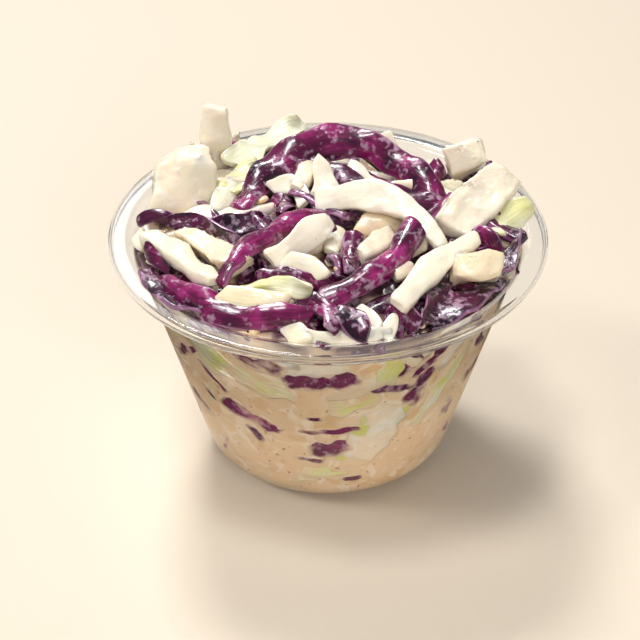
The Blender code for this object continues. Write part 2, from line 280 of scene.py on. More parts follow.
class Field:
    """A node's output in a formula: arithmetic on it adds Math or Vector Math nodes"""

    def __init__(self, tree, socket):
        self.tree = tree
        self.socket = socket
        self.is_vector = socket.type == "VECTOR"

    def node(self, kind, operation, *values, output=0):
        maths = self.tree.nodes.new(kind)
        maths.operation = operation
        for index, value in enumerate(values):
            fill(self.tree, maths.inputs[index], value)
        return Field(self.tree, maths.outputs[output])

    def maths(self, operation, *others):
        return self.node("ShaderNodeMath", operation, self, *others)

    def vector(self, operation, *others, output=0):
        return self.node("ShaderNodeVectorMath", operation, self, *others, output=output)

    def __add__(self, other):
        return self.vector("ADD", other) if self.is_vector else self.maths("ADD", other)

    def __sub__(self, other):
        return self.vector("SUBTRACT", other) if self.is_vector else self.maths("SUBTRACT", other)

    def __mul__(self, other):
        if not self.is_vector:
            return self.maths("MULTIPLY", other)
        scaled = self.tree.nodes.new("ShaderNodeVectorMath")
        scaled.operation = "SCALE"
        fill(self.tree, scaled.inputs[0], self)
        fill(self.tree, scaled.inputs["Scale"], other)
        return Field(self.tree, scaled.outputs[0])

    def __truediv__(self, other):
        return self.maths("DIVIDE", other)

    def __pow__(self, other):
        return self.maths("POWER", other)

    def least(self, other):
        return self.maths("MINIMUM", other)

    def most(self, other):
        return self.maths("MAXIMUM", other)

    def clamped(self):
        return self.most(0.0).least(1.0)

    def signed_power(self, power):
        return self.maths("SIGN") * self.maths("ABSOLUTE") ** power

    def unit(self):
        return self.vector("NORMALIZE")

    def cross(self, other):
        return self.vector("CROSS_PRODUCT", other)

    def parts(self):
        split = self.tree.nodes.new("ShaderNodeSeparateXYZ")
        fill(self.tree, split.inputs[0], self)
        return [Field(self.tree, output) for output in split.outputs]


def fill(tree, socket, value):
    """Give a node's input a value, or link another node's output to it"""
    if isinstance(value, Field):
        value = value.socket
    if isinstance(value, bpy.types.NodeSocket):
        tree.links.new(value, socket)
    else:
        socket.default_value = value


def add(tree, kind, inputs=None, output=0, **settings):
    """Add a node with its settings and inputs, and give its output as a Field"""
    node = tree.nodes.new(kind)
    for name, value in settings.items():
        setattr(node, name, value)
    for name, value in (inputs or {}).items():
        fill(tree, node.inputs[name], value)
    return Field(tree, node.outputs[output]) if node.outputs else node


def join_xyz(tree, x, y, z):
    """A vector from three values"""
    return add(tree, "ShaderNodeCombineXYZ", {"X": x, "Y": y, "Z": z})


def grain(tree, vector, scale, detail=2.0, swirl=0.0):
    """Smooth noise from -0.5 to 0.5"""
    pattern = add(tree, "ShaderNodeTexNoise", {
        "Vector": vector, "Scale": scale, "Detail": detail, "Distortion": swirl,
    })
    return pattern - 0.5


def named(tree, name, kind="FLOAT"):
    """An attribute of the mesh, in a geometry tree"""
    return add(tree, "GeometryNodeInputNamedAttribute", {"Name": name}, data_type=kind)


def store(tree, shape, name, value, kind="FLOAT"):
    """Keep a value on each point of a shape"""
    return add(
        tree, "GeometryNodeStoreNamedAttribute",
        {"Geometry": shape, "Name": name, "Value": value}, data_type=kind, domain="POINT",
    )


SWEEP_SIZES = {
    "Step": 0.38 * MM,
    "Squareness": 0.22,
    "Edge squareness": 0.8,
    "End rounding": 0.45 * MM,
    "End skew": 1.3,
    "Width wander": 0.5,
    "Wander pitch": 7.0 * MM,
    "Path wander": 0.9 * MM,
    "Roll wander": 1.1,
    "Edge ruffle": 1.3 * MM,
    "Ruffle pitch": 6.5 * MM,
    "Hollow": 0.34,
    "Rib depth": 0.1 * MM,
    "Rib pitch": 1.2 * MM,
    "Relief depth": 0.2 * MM,
    "Relief pitch": 2.6 * MM,
    "Press depth": 0.12 * MM,
    "Press softness": 0.3 * MM,
    "Wall radius": MOUTH_RADIUS,
    "Wall slope": WALL_SLOPE,
    "Rim height": RIM_HEIGHT,
    "Mouth flare": 3.4 * MM,
    "Flare drop": 2.0 * MM,
    "Floor height": SHEET + PUSH_UP,
    "Foot height": FOOT_HEIGHT,
    "Foot rounding": FLOOR_ROUNDING,
    "Foot reach": FOOT_REACH,
}


def shred_tree():
    """The tree that sweeps a flat rounded section along each path, with a wandering width,
    ruffled edges and closed ends, and presses what reaches the cup against its wall"""
    tree = bpy.data.node_groups.new("shred_sweep", "GeometryNodeTree")
    tree.interface.new_socket("Paths", in_out="INPUT", socket_type="NodeSocketGeometry")
    for name, value in SWEEP_SIZES.items():
        socket = tree.interface.new_socket(name, in_out="INPUT", socket_type="NodeSocketFloat")
        socket.default_value = value
    sides = tree.interface.new_socket("Sides", in_out="INPUT", socket_type="NodeSocketInt")
    sides.default_value = 20
    tree.interface.new_socket("Finish", in_out="INPUT", socket_type="NodeSocketMaterial")
    tree.interface.new_socket("Shreds", in_out="OUTPUT", socket_type="NodeSocketGeometry")
    given_node = tree.nodes.new("NodeGroupInput")
    given = {output.name: Field(tree, output) for output in given_node.outputs if output.name}

    curve = add(tree, "GeometryNodeMeshToCurve", {"Mesh": given["Paths"]})
    curve = add(tree, "GeometryNodeResampleCurve", {"Curve": curve, "Length": given["Step"]},
                mode="LENGTH")
    curve = store(tree, curve, "centre", add(tree, "GeometryNodeInputPosition"), "FLOAT_VECTOR")
    curve = store(tree, curve, "run", add(tree, "GeometryNodeInputTangent"), "FLOAT_VECTOR")
    share = add(tree, "GeometryNodeSplineParameter")
    gone = add(tree, "GeometryNodeSplineParameter", output=1)
    curve = store(tree, curve, "share", share)
    curve = store(tree, curve, "along", gone)

    ring = add(tree, "GeometryNodeCurvePrimitiveCircle", {"Resolution": given["Sides"], "Radius": 1.0})
    ring = store(tree, ring, "ring", add(tree, "GeometryNodeInputPosition"), "FLOAT_VECTOR")
    swept = tree.nodes.new("GeometryNodeCurveToMesh")
    fill(tree, swept.inputs["Curve"], curve)
    fill(tree, swept.inputs["Profile Curve"], ring)
    swept.inputs["Fill Caps"].default_value = True
    shape = Field(tree, swept.outputs[0])

    run = named(tree, "run", "FLOAT_VECTOR").unit()
    across = named(tree, "facing", "FLOAT_VECTOR").cross(run).unit()
    outward = run.cross(across)
    along = named(tree, "along")
    tone = named(tree, "tone")
    reach = along / named(tree, "share").most(0.001)
    to_end = along.least(reach - along)
    ending = (to_end / given["End rounding"]).clamped()
    closing = (ending * (ending * -1.0 + 2.0)) ** 0.5
    lane = join_xyz(tree, along, tone * 0.7, 0.0)
    pace = given["Wander pitch"] ** -1.0
    wander = grain(tree, lane, pace, 0.4)
    roll = grain(tree, join_xyz(tree, along, tone * 0.9, 0.05), pace, 0.0)
    roll = roll * given["Roll wander"] * 2.0
    level_across = across
    across = level_across * roll.maths("COSINE") + outward * roll.maths("SINE")
    outward = outward * roll.maths("COSINE") - level_across * roll.maths("SINE")
    drift = grain(tree, join_xyz(tree, along, tone * 0.8, 0.1), pace, 0.0) * given["Path wander"]
    drift_up = grain(tree, join_xyz(tree, along, tone * 0.6, 0.2), pace, 0.0)
    drift_up = drift_up * given["Path wander"]
    ring_x, ring_y, _ = named(tree, "ring", "FLOAT_VECTOR").parts()
    side = ring_x.signed_power(given["Edge squareness"])
    deep = ring_y.signed_power(given["Squareness"])
    wide = named(tree, "half_width") * (wander * given["Width wander"] * 2.0 + 1.0)
    wide = wide * (closing * 0.22 + 0.78)
    thick = named(tree, "half_thickness") * (closing * 0.4 + 0.6) * (wander * 0.8 + 1.0)
    near_end = (to_end / named(tree, "half_width") * -0.5 + 1.0).clamped()
    skew = near_end * near_end * side * wide * given["End skew"] * (tone - 0.5)
    edge_lane = join_xyz(tree, along, tone * 0.7, side * 2.0 * MM)
    ruffle = grain(tree, edge_lane, given["Ruffle pitch"] ** -1.0, 0.6) * given["Edge ruffle"] * 2.0
    ruffle = ruffle * side.maths("ABSOLUTE") * named(tree, "ruffled")
    hollow = (side * side - 0.5) * given["Hollow"] * wide * (tone * 1.6 - 0.3)
    rib_lane = join_xyz(tree, along * 0.1, side * wide, tone * 0.3)
    rib = grain(tree, rib_lane, given["Rib pitch"] ** -1.0, 1.0) * given["Rib depth"] * 2.0
    place = named(tree, "centre", "FLOAT_VECTOR")
    place = place + across * (side * wide + drift * 2.0) + run * skew
    place = place + outward * (deep * thick + rib + ruffle - hollow + drift_up * 2.0)
    shape = add(tree, "GeometryNodeSetPosition", {"Geometry": shape, "Position": place})

    here = add(tree, "GeometryNodeInputPosition")
    relief = grain(tree, here, given["Relief pitch"] ** -1.0, 1.2) * given["Relief depth"] * 2.0
    lifted = here + add(tree, "GeometryNodeInputNormal") * relief
    shape = add(tree, "GeometryNodeSetPosition", {"Geometry": shape, "Position": lifted})

    x, y, z = add(tree, "GeometryNodeInputPosition").parts()
    radius = (x * x + y * y).most(1e-9) ** 0.5
    flare = ((z - given["Rim height"] + given["Flare drop"]) / given["Flare drop"]).clamped()
    limit = given["Wall radius"] + (z - given["Rim height"]).least(0.0) * given["Wall slope"]
    limit = limit + given["Press depth"] * (tone * 0.6 + 0.7) + flare * flare * given["Mouth flare"]
    foot = (z - SHEET).most(0.0).least(given["Foot height"])
    gap = given["Foot rounding"] - foot
    bend = (given["Foot rounding"] ** 2.0 - gap * gap).most(0.0) ** 0.5
    limit = limit - (foot * given["Wall slope"] + given["Foot reach"] - bend)
    soft = given["Press softness"]
    excess = ((radius - limit + soft) / soft).most(0.0)
    pressed = limit - soft * (excess * -1.0).maths("EXPONENT")
    squeezed = pressed.least(radius) / radius
    level = z.most(given["Floor height"])
    place = join_xyz(tree, x * squeezed, y * squeezed, level)
    shape = add(tree, "GeometryNodeSetPosition", {"Geometry": shape, "Position": place})

    shape = store(tree, shape, "across", side)
    shape = store(tree, shape, "to_end", to_end)
    for scrap in ("centre", "run", "ring", "share", "facing"):
        shape = add(tree, "GeometryNodeRemoveAttribute", {"Geometry": shape, "Name": scrap})
    shape = add(tree, "GeometryNodeSetShadeSmooth", {"Geometry": shape, "Shade Smooth": True})
    shape = add(tree, "GeometryNodeRealizeInstances", {"Geometry": shape})
    shape = add(tree, "GeometryNodeSetMaterial", {"Geometry": shape, "Material": given["Finish"]})
    out = tree.nodes.new("NodeGroupOutput")
    fill(tree, out.inputs["Shreds"], shape)
    return tree


def shred_path(size):
    """Places, facings and half widths along a shred, a shallow arc that may twist"""
    heading = math.radians(size["heading"])
    along = Vector((math.cos(heading), math.sin(heading), 0.0))
    left = Vector((-along.y, along.x, 0.0))
    up = Vector((0.0, 0.0, 1.0))
    lean = math.radians(size["lean"])
    towards = math.radians(size["towards"])
    face = Vector((math.cos(towards) * math.sin(lean), math.sin(towards) * math.sin(lean), math.cos(lean)))
    middle = Vector((size["x"], size["y"], size["height"]))
    chord = along * size["length"] + up * size["slope"]
    path = []
    for step in range(PATH_STEPS + 1):
        t = 2 * step / PATH_STEPS - 1
        place = middle + chord * t / 2 - (left * size["bow"] + up * size["crown"]) * t * t
        share = 1 - t * t + t * t * (size["start"] if t < 0 else size["end"])
        turned = Matrix.Rotation(math.radians(size["twist"]) * t, 3, chord) @ face
        path.append((place, turned, size["width"] * share / 2))
    return path


def paths_object(name, sizes, rng, ruffled, veiled):
    """A mesh of edges with one path for each shred, carrying its sizes as attributes"""
    rows = []
    edges = []
    for size in sizes:
        tone = rng.random()
        first = len(rows)
        for place, face, half_width in shred_path(size):
            rows.append((place, face, half_width, size["thickness"] / 2, tone, size["film"], size["stain"]))
        edges += [(index, index + 1) for index in range(first, len(rows) - 1)]
    mesh = bpy.data.meshes.new(name)
    mesh.from_pydata([spot(*row[0]) for row in rows], edges, [])
    facing = mesh.attributes.new("facing", "FLOAT_VECTOR", "POINT")
    facing.data.foreach_set("vector", [value for row in rows for value in row[1]])
    columns = {
        "half_width": [row[2] * MM for row in rows],
        "half_thickness": [row[3] * MM for row in rows],
        "tone": [row[4] for row in rows],
        "film": [row[5] for row in rows],
        "stain": [row[6] for row in rows],
        "ruffled": [ruffled for _ in rows],
        "veil": [row[5] if veiled else 0.0 for row in rows],
    }
    for column, values in columns.items():
        mesh.attributes.new(column, "FLOAT", "POINT").data.foreach_set("value", values)
    thing = bpy.data.objects.new(name, mesh)
    bpy.context.scene.collection.objects.link(thing)
    return thing


def plain_copy(thing, name):
    """Turn an object and its modifiers into one plain mesh"""
    bpy.context.view_layer.update()
    shown = thing.evaluated_get(bpy.context.evaluated_depsgraph_get())
    mesh = bpy.data.meshes.new_from_object(shown)
    mesh.name = name
    thing.modifiers.clear()
    thing.data = mesh
    return thing


def sweep(name, sizes, tree, finish, rng, ruffled=1.0, veiled=False, **inputs):
    """Shreds swept along their paths, as one plain mesh"""
    thing = paths_object(name, sizes, rng, ruffled, veiled)
    modifier = thing.modifiers.new("sweep", "NODES")
    modifier.node_group = tree
    for item in tree.interface.items_tree:
        if item.in_out != "INPUT":
            continue
        if item.name == "Finish":
            modifier[item.identifier] = finish
        elif item.name in inputs:
            modifier[item.identifier] = inputs[item.name]
    return plain_copy(thing, name)


def join(things, name):
    """Join objects into the first of them"""
    if len(things) > 1:
        with bpy.context.temp_override(
            active_object=things[0], selected_objects=things, selected_editable_objects=things,
        ):
            bpy.ops.object.join()
    things[0].name = name
    things[0].data.name = name
    return things[0]


def steady_drift(place):
    """Three smooth noises as a vector. The noise module's own vector differs between runs"""
    return Vector([noise.noise(place + Vector((0.0, 0.0, 31.7 * axis))) for axis in range(3)])


def chunk(name, size, evenness, seed, finish):
    """A cut chunk of stalk: the hull of seeded corners along its path, bent a little, with
    soft edges and a wavy surface"""
    rng = random.Random(seed)
    path = shred_path(size)
    run = (path[-1][0] - path[0][0]).normalized()
    across = path[0][1].cross(run).normalized()
    outward = run.cross(across)
    shape = bmesh.new()
    for station in range(CHUNK_STATIONS):
        place, _, half_width = path[round(station * PATH_STEPS / (CHUNK_STATIONS - 1))]
        for side, deep in ((-1, -1), (-1, 1), (1, -1), (1, 1)):
            corner = place + run * rng.uniform(evenness - 1, 1 - evenness) * size["length"] / 4
            corner += across * side * half_width * rng.uniform(evenness, 1.05)
            corner += outward * deep * size["thickness"] / 2 * rng.uniform(evenness, 1.05)
            shape.verts.new(spot(*corner))
    hull = bmesh.ops.convex_hull(shape, input=shape.verts)
    inner = [item for item in hull["geom_interior"] if isinstance(item, bmesh.types.BMVert)]
    bmesh.ops.delete(shape, geom=inner, context="VERTS")
    bmesh.ops.recalc_face_normals(shape, faces=shape.faces)
    mesh = bpy.data.meshes.new(name)
    shape.to_mesh(mesh)
    shape.free()
    thing = bpy.data.objects.new(name, mesh)
    bpy.context.scene.collection.objects.link(thing)
    remesh = thing.modifiers.new("even", "REMESH")
    remesh.mode = "VOXEL"
    remesh.voxel_size = 0.32 * MM
    remesh.use_smooth_shade = True
    soften = thing.modifiers.new("soften", "SMOOTH")
    soften.factor = 0.5
    soften.iterations = 7
    plain_copy(thing, name)
    mesh = thing.data
    begin = spot(*path[0][0])
    columns = {"along": [], "across": []}
    for vert in mesh.vertices:
        bend = steady_drift(vert.co / (9.0 * MM)) * 1.8
        wave = noise.noise(vert.co / (2.8 * MM)) * 0.5 + noise.noise(vert.co / (1.1 * MM)) * 0.1
        vert.co += (bend + vert.normal * wave) * MM
        columns["along"].append((vert.co - begin).dot(run))
        columns["across"].append((vert.co - begin).dot(across) * 2 / (size["width"] * MM))
    count = len(mesh.vertices)
    for column, value in (("tone", rng.random()), ("film", 0.1), ("stain", size["stain"])):
        columns[column] = [value] * count
    for column, values in columns.items():
        mesh.attributes.new(column, "FLOAT", "POINT").data.foreach_set("value", values)
    mesh.materials.clear()
    mesh.materials.append(finish)
    return thing


def loose_shreds():
    """Shreds strewn over the heap in rings, under the chosen ones, by kind"""
    rng = random.Random(LOOSE_SEED)
    kinds = {"red": [], "white": [], "green": []}
    for reach, count in LOOSE_RINGS:
        for index in range(count):
            bearing = math.tau * (index + rng.uniform(-0.4, 0.4)) / count
            away = reach + rng.uniform(-2.5, 2.5)
            x = away * math.cos(bearing)
            y = away * math.sin(bearing)
            kind = rng.choices(("red", "white", "green"), (72, 24, 4) if y < 8 else (58, 37, 5))[0]
            at_back = 1.1 if y > 8 else 0.0
            at_wall = 0.3 * max(0.0, away - 27)
            piece = shred(
                x, y, heap_level(x, y) - 1.1 + at_back - at_wall + rng.uniform(-0.7, 0.7),
                rng.uniform(0, 360), rng.triangular(7, 22, 12), rng.uniform(2.4, 4.4),
                rng.uniform(0.9, 1.5) if kind == "red" else rng.uniform(1.4, 2.6),
                bow=rng.uniform(-2.5, 2.5), crown=rng.uniform(-0.2, 1.6),
                slope=rng.uniform(-2, 2), lean=rng.uniform(0, 55), towards=rng.uniform(0, 360),
                twist=rng.uniform(-45, 45), start=rng.uniform(0.3, 0.9), end=rng.uniform(0.3, 0.9),
                film=rng.uniform(0, 0.5), stain=rng.uniform(0, 0.8),
            )
            if math.hypot(x - BARE_SPOT[0], y - BARE_SPOT[1]) > BARE_SPOT[2]:
                kinds[kind].append(piece)
    return kinds


def wall_shred(bearing, height, length, width, slant, veil, stain, start=0.8, end=0.7):
    """A short piece that lies flat against the wall, a little past it before it is pressed.
    Its path leans out with the wall as it climbs"""
    turn = math.radians(bearing)
    away = wall_radius(height) - 0.15
    tilt = math.radians(slant)
    level = length * math.cos(tilt)
    climb = length * math.sin(tilt)
    outward = climb * WALL_SLOPE
    return shred(
        away * math.cos(turn), away * math.sin(turn), height,
        bearing + 90 - math.degrees(math.atan2(outward, level)), math.hypot(level, outward),
        width, 1.6, bow=-level ** 2 / (8 * away), slope=climb, lean=90, towards=bearing,
        start=start, end=end, film=veil, stain=stain,
    )


def wall_shreds():
    """The pieces that show through the wall: the chosen ones in front, and seeded ones round
    the rest of the cup, by kind"""
    kinds = {"red": [], "white": [], "green": []}
    for kind, *sizes in WALL_PIECES:
        kinds[kind].append(wall_shred(*sizes))
    rng = random.Random(WALL_SEED)
    for index in range(WALL_LOOSE):
        bearing = -42 + 270 * (index + rng.random()) / WALL_LOOSE
        height = -5 - 33 * ((index * 0.618) % 1.0)
        kind = rng.choices(("red", "white", "green"), (60, 20, 20))[0]
        thin = rng.random() < 0.4
        width = rng.uniform(0.9, 1.6) if thin else rng.uniform(2.2, 4.6)
        kinds[kind].append(wall_shred(
            bearing, height, rng.uniform(4, 12), width, rng.uniform(-70, 70),
            rng.uniform(0.2, 0.75), rng.uniform(0.1, 0.9),
            rng.uniform(0.4, 1.0), rng.uniform(0.3, 0.9),
        ))
    return kinds


def rounded(corners):
    """A profile through corners (radius, height, rounding, steps), each turned on an arc"""
    points = []
    last = len(corners) - 1
    for index, (radius, height, rounding, steps) in enumerate(corners):
        corner = Vector((radius, height))
        if index in (0, last) or rounding == 0.0:
            points.append(corner)
            continue
        back = (Vector(corners[index - 1][:2]) - corner).normalized()
        ahead = (Vector(corners[index + 1][:2]) - corner).normalized()
        half = back.angle(ahead) / 2
        middle = corner + (back + ahead).normalized() * rounding / math.sin(half)
        begin = corner + back * rounding / math.tan(half) - middle
        finish = corner + ahead * rounding / math.tan(half) - middle
        turn = begin.angle_signed(finish)
        for step in range(steps + 1):
            points.append(middle + Matrix.Rotation(-turn * step / steps, 2) @ begin)
    return points


def lathe(name, points, steps):
    """A smooth surface turned from a profile, from its outer end to the axis"""
    mesh = bpy.data.meshes.new(name)
    places = [(point.x, 0.0, point.y) for point in points]
    mesh.from_pydata(places, [(index, index + 1) for index in range(len(places) - 1)], [])
    thing = bpy.data.objects.new(name, mesh)
    bpy.context.scene.collection.objects.link(thing)
    screw = thing.modifiers.new("turn", "SCREW")
    screw.steps = steps
    screw.render_steps = steps
    screw.use_merge_vertices = True
    screw.merge_threshold = WELD
    screw.use_smooth_shade = True
    return thing


def wall_at(height):
    """Food-side radius of the straight wall at a height, in metres"""
    return FLOOR_RADIUS + (height - SHEET) * WALL_SLOPE


def make_cup(finish):
    """The clear cup, with a fine step under its mouth where stacked cups rest"""
    ring = RIM_HEIGHT - STACK_RING_DROP
    thing = lathe("cup_shell", rounded([
        (RIM_RADIUS - SKIRT_LEAN, RIM_HEIGHT - SKIRT_DROP, 0.0, 0),
        (RIM_RADIUS, RIM_HEIGHT - SKIRT_BREAK, 0.0, 0),
        (RIM_RADIUS, RIM_HEIGHT - FLANGE_FALL, LIP_ROUNDING, 8),
        (MOUTH_RADIUS, RIM_HEIGHT, MOUTH_ROUNDING, 10),
        (wall_at(ring) + STACK_RING_STEP, ring + STACK_RING_STEP, 0.2 * MM, 4),
        (wall_at(ring), ring, 0.2 * MM, 4),
        (FLOOR_RADIUS, SHEET, FLOOR_ROUNDING, 14),
        (STAND_RADIUS, SHEET, 0.3 * MM, 3),
        (STAND_RADIUS - PUSH_UP_RAMP, SHEET + PUSH_UP, 0.3 * MM, 3),
        (0.0, SHEET + PUSH_UP, 0.0, 0),
    ]), CUP_STEPS)
    sheet = thing.modifiers.new("sheet", "SOLIDIFY")
    sheet.thickness = SHEET
    sheet.offset = 1.0
    sheet.use_even_offset = True
    plain_copy(thing, "cup_shell")
    thing.data.materials.clear()
    thing.data.materials.append(finish)
    return thing


def make_core(finish):
    """The dressing and what is buried in it: it fills the cup just into the wall, and its
    top follows the heap a little under the shreds"""
    edge = MOUTH_RADIUS + CORE_PRESS * MM
    top = [Vector((edge * ring / CORE_RINGS, RIM_HEIGHT)) for ring in range(CORE_RINGS)]
    side = rounded([
        (0.0, RIM_HEIGHT, 0.0, 0),
        (edge, RIM_HEIGHT, 0.0, 0),
        (FLOOR_RADIUS + CORE_PRESS * MM, SHEET - CORE_PRESS * MM, FLOOR_ROUNDING, 12),
        (STAND_RADIUS, SHEET - CORE_PRESS * MM, 0.0, 0),
        (STAND_RADIUS - PUSH_UP_RAMP, SHEET + PUSH_UP - CORE_PRESS * MM, 0.0, 0),
        (0.0, SHEET + PUSH_UP - CORE_PRESS * MM, 0.0, 0),
    ])
    wall = []
    for first, second in zip(side[1:], side[2:]):
        parts = max(1, round((second - first).length / (0.9 * MM)))
        wall += [first.lerp(second, part / parts) for part in range(parts)]
    thing = lathe("dressing_core", top + wall + [side[-1]], CORE_STEPS)
    plain_copy(thing, "dressing_core")
    for vert in thing.data.vertices:
        x, y = vert.co.x / MM, vert.co.y / MM
        away = math.hypot(x, y)
        if vert.co.z > RIM_HEIGHT - WELD:
            level = heap_level(x, y) - CORE_SINK * (0.4 if away > edge / MM - 2 else 1)
            lumps = noise.noise(Vector((x, y, 0.0)) / 4.5) * CORE_LUMPS
            lumps += noise.noise(Vector((x, y, 5.0)) / 1.4) * CORE_GRAIN
            height = level + lumps
            limit = (wall_radius(height) + CORE_PRESS) / max(away, 1e-6)
            shrink = min(1.0, limit)
            vert.co = spot(x * shrink, y * shrink, height)
        elif away > 15:
            drop = (vert.co.z - RIM_HEIGHT) / MM
            inner = heap_level(x, y) - CORE_SINK * 0.4
            if drop > inner:
                drop = inner
            dent = noise.noise(Vector((x, y, drop)) / 3.0) * 0.035
            radius = min(away, wall_radius(drop) + CORE_PRESS) + dent
            vert.co.x *= radius / away
            vert.co.y *= radius / away
            vert.co.z = RIM_HEIGHT + drop * MM
    thing.data.materials.clear()
    thing.data.materials.append(finish)
    return thing


def make_drops(finish):
    """Small beads and smears of dressing on the shreds and on the bare wall at the back"""
    rng = random.Random(31)
    shape = bmesh.new()
    for index in range(90):
        bearing = rng.uniform(0, math.tau)
        away = 31 * math.sqrt(rng.random())
        x, y = away * math.cos(bearing), away * math.sin(bearing)
        size = rng.triangular(0.25, 1.3, 0.5)
        place = spot(x, y, heap_level(x, y) - 0.4 + rng.uniform(-0.3, 0.4))
        grow = Matrix.Diagonal((size * rng.uniform(0.8, 1.6), size, size * 0.6, 1.0)) * MM
        grow[3][3] = 1.0
        turn = Matrix.Rotation(rng.uniform(0, math.tau), 4, "Z")
        made = bmesh.ops.create_icosphere(
            shape, subdivisions=2, radius=1.0, matrix=Matrix.Translation(place) @ turn @ grow,
        )
        for vert in made["verts"]:
            vert.co += (vert.co - place) * noise.noise(vert.co / (0.8 * MM)) * 0.35
    mesh = bpy.data.meshes.new("dressing_drops")
    for face in shape.faces:
        face.smooth = True
    shape.to_mesh(mesh)
    shape.free()
    mesh.materials.append(finish)
    thing = bpy.data.objects.new("dressing_drops", mesh)
    bpy.context.scene.collection.objects.link(thing)
    return thing


def new_material(name):
    """An empty node material with its Principled shader"""
    material = bpy.data.materials.new(name)
    material.use_nodes = True
    tree = material.node_tree
    return material, tree, tree.nodes["Principled BSDF"]


def mix(tree, share, first, second):
    """Colours mixed by a share"""
    blend = tree.nodes.new("ShaderNodeMix")
    blend.data_type = "RGBA"
    fill(tree, blend.inputs["Factor"], share)
    for socket, colour in zip([s for s in blend.inputs if s.type == "RGBA"], (first, second)):
        fill(tree, socket, (*colour, 1.0) if isinstance(colour, tuple) else colour)
    return Field(tree, [s for s in blend.outputs if s.type == "RGBA"][0])


def span(value, low, high):
    """A value's way from low to high, held within 0 and 1"""
    return ((value - low) / (high - low)).clamped()


def attribute(tree, name):
    """A mesh attribute, in a material"""
    node = tree.nodes.new("ShaderNodeAttribute")
    node.attribute_name = name
    return Field(tree, node.outputs["Fac"])


def place_field(tree):
    """The place on the piece"""
    node = tree.nodes.new("ShaderNodeTexCoord")
    return Field(tree, node.outputs["Object"])


def add_bump(tree, shader, height, depth):
    """Fine relief from a pattern"""
    bump = tree.nodes.new("ShaderNodeBump")
    bump.inputs["Distance"].default_value = depth
    bump.inputs["Strength"].default_value = 1.0
    fill(tree, bump.inputs["Height"], height)
    tree.links.new(bump.outputs["Normal"], shader.inputs["Normal"])


def wet(shader, roughness, coat, scatter, radius):
    """The even settings of wet food"""
    shader.inputs["Roughness"].default_value = roughness
    shader.inputs["Coat Weight"].default_value = coat
    shader.inputs["Coat Roughness"].default_value = 0.07
    shader.inputs["Subsurface Weight"].default_value = scatter
    shader.inputs["Subsurface Radius"].default_value = radius
    shader.inputs["Subsurface Scale"].default_value = 1.0 * MM


def blotches(tree, place, scale, amount):
    """Smears of dressing that thin out and vanish in places, from 0 to 1"""
    smears = grain(tree, place, scale, 1.5) + grain(tree, place, scale * 0.3, 1.0) * 0.7
    return span(smears + amount, 0.0, 0.18)


def streaks(tree):
    """Fine fibres along a shred, from -0.5 to 0.5"""
    lane = join_xyz(
        tree, attribute(tree, "along") * 160.0, attribute(tree, "across") * 5.0,
        attribute(tree, "tone") * 40.0,
    )
    return grain(tree, lane, 1.0, 3.0)


def veiled(tree, place, colour):
    """A piece's colour where dressing partly hides it against the wall, most at its edges"""
    veil = attribute(tree, "veil")
    rim = span(attribute(tree, "across").maths("ABSOLUTE"), 0.55, 1.0)
    tip = span(attribute(tree, "to_end"), 1.6 * MM, 0.0)
    patch = grain(tree, place, 300.0, 3.0) + veil * 0.5 + rim.most(tip) * 0.35
    return mix(tree, span(patch, 0.2, 0.45) * veil.maths("SIGN") * 0.92, colour, DRESSING)


def red_finish():
    """Red cabbage: purple faces with magenta streaks, pale cut edges and thin dressing, with painted shade
    that darkens some shreds toward black and painted light on the pieces behind the wall
    """
    material, tree, shader = new_material("red_cabbage")
    place = place_field(tree)
    tone = attribute(tree, "tone")
    stain = attribute(tree, "stain")
    fibres = streaks(tree)
    lively = grain(tree, place, 200.0, 2.0) * 1.3 + fibres * 0.6 + tone * 0.24
    colour = mix(tree, span(lively, -0.12, 0.3), (0.014, 0.0005, 0.01), (0.14, 0.003, 0.055))
    colour = mix(tree, span(lively, 0.22, 0.55), colour, (0.36, 0.024, 0.17))
    # Partly painted shade: the stain value darkens a red shred toward black, most on chosen shreds that lie
    # low by the wall and deep in the heap, and a random amount on loose ones.
    colour = mix(tree, stain * 0.8, colour, (0.008, 0.0005, 0.01))
    cut = span(attribute(tree, "across").maths("ABSOLUTE"), 0.93, 1.0)
    colour = mix(tree, cut * 0.55, colour, (0.5, 0.2, 0.4))
    film = blotches(tree, place, 1000.0, attribute(tree, "film") * 0.14 - 0.06) * 0.55
    colour = mix(tree, film, colour, (0.56, 0.38, 0.5))
    # Painted light: red pieces pressed behind the wall are lifted toward a lighter magenta, as if lit
    # through the plastic.
    painted_light_behind_wall = attribute(tree, "veil").maths("SIGN")
    colour = mix(tree, painted_light_behind_wall * 0.3, colour, (0.34, 0.05, 0.15))
    fill(tree, shader.inputs["Base Color"], veiled(tree, place, colour))
    wet(shader, 0.26, 0.6, 0.05, (1.0, 0.3, 0.7))
    add_bump(tree, shader, fibres * 0.6 + film * 0.6 + grain(tree, place, 700.0) * 0.5, 0.16 * MM)
    return material


